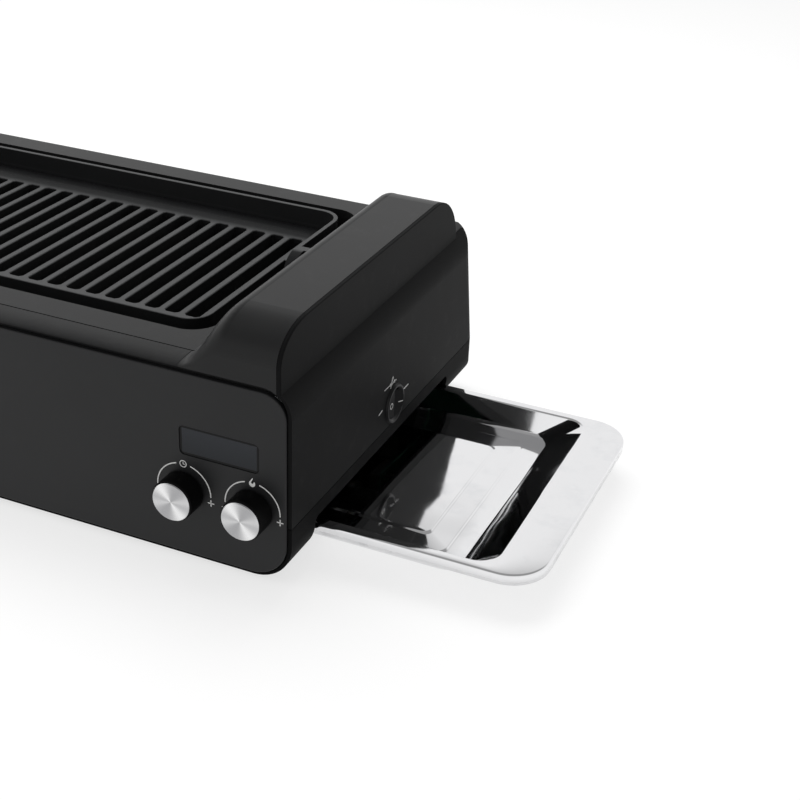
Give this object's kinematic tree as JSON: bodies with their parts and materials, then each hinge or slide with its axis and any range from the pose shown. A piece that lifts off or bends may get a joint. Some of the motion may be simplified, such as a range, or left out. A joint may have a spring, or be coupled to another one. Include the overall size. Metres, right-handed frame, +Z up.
{
  "type": "electric kebab grill",
  "caption": "Table-top electric grill with a lift-off barred grate, drawn-out fat tray, knobs, a display and raised end housings that turn skewers",
  "frame": {"origin": "middle of the whole footprint at the height of the feet's underside, tray drawn out", "axes": "+X along the length to the tray's side, +Y from the front panel to the back, +Z up"},
  "size_m": [0.68, 0.3126, 0.1677],
  "materials": {
    "cover_plastic": "fine matte moulded plastic, dark grey",
    "side_plastic": "matte moulded plastic, near black",
    "panel_plastic": "satin black plate",
    "window_plastic": "smoked clear plastic, dark blue grey",
    "knob_plastic": "black moulded plastic",
    "spun_aluminium": "spun aluminium with fine rings",
    "cast_metal": "cast aluminium with a grey non-stick coat, rims polished",
    "tray_steel": "mirror polished stainless sheet",
    "sheet_steel": "zinc plated sheet",
    "heater_steel": "sheathed heater tube, darkened",
    "ceramic": "unglazed ceramic",
    "board": "circuit board",
    "black_part": "black moulding",
    "gear_nylon": "natural nylon",
    "screw_steel": "plated steel",
    "foot_rubber": "soft black rubber"
  },
  "bodies": {
    "root": {"base_screws": "screw_steel", "base_shell": "side_plastic", "bush_plate": "sheet_steel", "control_board": "board", "display_module": "black_part", "display_window": "window_plastic", "drive_motor": "sheet_steel", "drive_plate": "sheet_steel", "element_clips": "sheet_steel", "feet": "foot_rubber", "front_panel": "panel_plastic", "heat_encoder": "black_part", "heating_element": "heater_steel", "inner_liner": "sheet_steel", "liner_screws": "screw_steel", "motor_screws": "screw_steel", "panel_screws": "screw_steel", "power_board": "board", "power_inlet": "black_part", "rear_cover": "side_plastic", "rear_screws": "screw_steel", "rocker_bezel": "knob_plastic", "side_cover_left": "side_plastic", "side_cover_right": "side_plastic", "skewer_bush_1": "gear_nylon", "skewer_bush_2": "gear_nylon", "skewer_bush_3": "gear_nylon", "skewer_bush_4": "gear_nylon", "skewer_bush_5": "gear_nylon", "terminal_block": "ceramic", "thermal_cutout": "black_part", "timer_encoder": "black_part", "top_cover": "cover_plastic", "tray_rail_front": "sheet_steel", "tray_rail_rear": "sheet_steel"},
    "tray": {"tray": "tray_steel"},
    "grate": {"grate": "cast_metal"},
    "timer": {"timer_knob": "knob_plastic", "timer_knob_cap": "spun_aluminium", "timer_shaft": "screw_steel"},
    "heat": {"heat_knob": "knob_plastic", "heat_knob_cap": "spun_aluminium", "heat_shaft": "screw_steel"},
    "rocker": {"rocker": "knob_plastic"},
    "pinion": {"motor_pinion": "screw_steel"},
    "skewer_1": {"skewer_gear_1": "gear_nylon", "skewer_socket_1": "gear_nylon"},
    "skewer_2": {"skewer_gear_2": "gear_nylon", "skewer_socket_2": "gear_nylon"},
    "skewer_3": {"skewer_gear_3": "gear_nylon", "skewer_socket_3": "gear_nylon"},
    "skewer_4": {"skewer_gear_4": "gear_nylon", "skewer_socket_4": "gear_nylon"},
    "skewer_5": {"skewer_gear_5": "gear_nylon", "skewer_socket_5": "gear_nylon"},
    "idler_1": {"idler_gear_1": "gear_nylon"},
    "idler_2": {"idler_gear_2": "gear_nylon"},
    "idler_3": {"idler_gear_3": "gear_nylon"},
    "idler_4": {"idler_gear_4": "gear_nylon"}
  },
  "joints": [
    {"name": "tray_slide", "type": "slide", "parent": "root", "child": "tray", "axis": [1, 0, 0], "range_m": [-0.132, 0.2]},
    {"name": "grate_lift", "type": "slide", "parent": "root", "child": "grate", "axis": [0, 0, 1], "range_m": [0, 0.09]},
    {"name": "timer_turn", "type": "hinge", "parent": "root", "child": "timer", "pos_m": [0.12865, -0.1407, 0.0515], "axis": [0, 1, 0], "continuous": true},
    {"name": "heat_turn", "type": "hinge", "parent": "root", "child": "heat", "pos_m": [0.17475, -0.1407, 0.0515], "axis": [0, 1, 0], "continuous": true},
    {"name": "rocker_tip", "type": "hinge", "parent": "root", "child": "rocker", "pos_m": [0.1985, 0.0063, 0.057], "axis": [0, 0, 1], "range_deg": [0, 16]},
    {"name": "skewer_3_spin", "type": "hinge", "parent": "root", "child": "skewer_3", "pos_m": [0.1525, 0.0103, 0.152], "axis": [1, 0, 0], "continuous": true},
    {"name": "skewer_1_spin", "type": "hinge", "parent": "root", "child": "skewer_1", "pos_m": [0.1525, -0.0697, 0.152], "axis": [1, 0, 0], "continuous": true},
    {"name": "skewer_2_spin", "type": "hinge", "parent": "root", "child": "skewer_2", "pos_m": [0.1525, -0.0297, 0.152], "axis": [1, 0, 0], "continuous": true},
    {"name": "skewer_4_spin", "type": "hinge", "parent": "root", "child": "skewer_4", "pos_m": [0.1525, 0.0503, 0.152], "axis": [1, 0, 0], "continuous": true},
    {"name": "skewer_5_spin", "type": "hinge", "parent": "root", "child": "skewer_5", "pos_m": [0.1525, 0.0903, 0.152], "axis": [1, 0, 0], "continuous": true},
    {"name": "idler_1_spin", "type": "hinge", "parent": "root", "child": "idler_1", "pos_m": [0.1525, -0.0497, 0.152], "axis": [1, 0, 0], "continuous": true},
    {"name": "idler_2_spin", "type": "hinge", "parent": "root", "child": "idler_2", "pos_m": [0.1525, -0.0097, 0.152], "axis": [1, 0, 0], "continuous": true},
    {"name": "idler_3_spin", "type": "hinge", "parent": "root", "child": "idler_3", "pos_m": [0.1525, 0.0303, 0.152], "axis": [1, 0, 0], "continuous": true},
    {"name": "idler_4_spin", "type": "hinge", "parent": "root", "child": "idler_4", "pos_m": [0.1525, 0.0703, 0.152], "axis": [1, 0, 0], "continuous": true},
    {"name": "pinion_spin", "type": "hinge", "parent": "root", "child": "pinion", "pos_m": [0.1525, 0.0103, 0.132], "axis": [1, 0, 0], "continuous": true}
  ],
  "couplings": [
    {"joint": "skewer_1_spin", "follows": "skewer_3_spin", "ratio": 1},
    {"joint": "skewer_2_spin", "follows": "skewer_3_spin", "ratio": 1},
    {"joint": "skewer_4_spin", "follows": "skewer_3_spin", "ratio": 1},
    {"joint": "skewer_5_spin", "follows": "skewer_3_spin", "ratio": 1},
    {"joint": "idler_1_spin", "follows": "skewer_3_spin", "ratio": -1},
    {"joint": "idler_2_spin", "follows": "skewer_3_spin", "ratio": -1},
    {"joint": "idler_3_spin", "follows": "skewer_3_spin", "ratio": -1},
    {"joint": "idler_4_spin", "follows": "skewer_3_spin", "ratio": -1},
    {"joint": "pinion_spin", "follows": "skewer_3_spin", "ratio": -1}
  ]
}
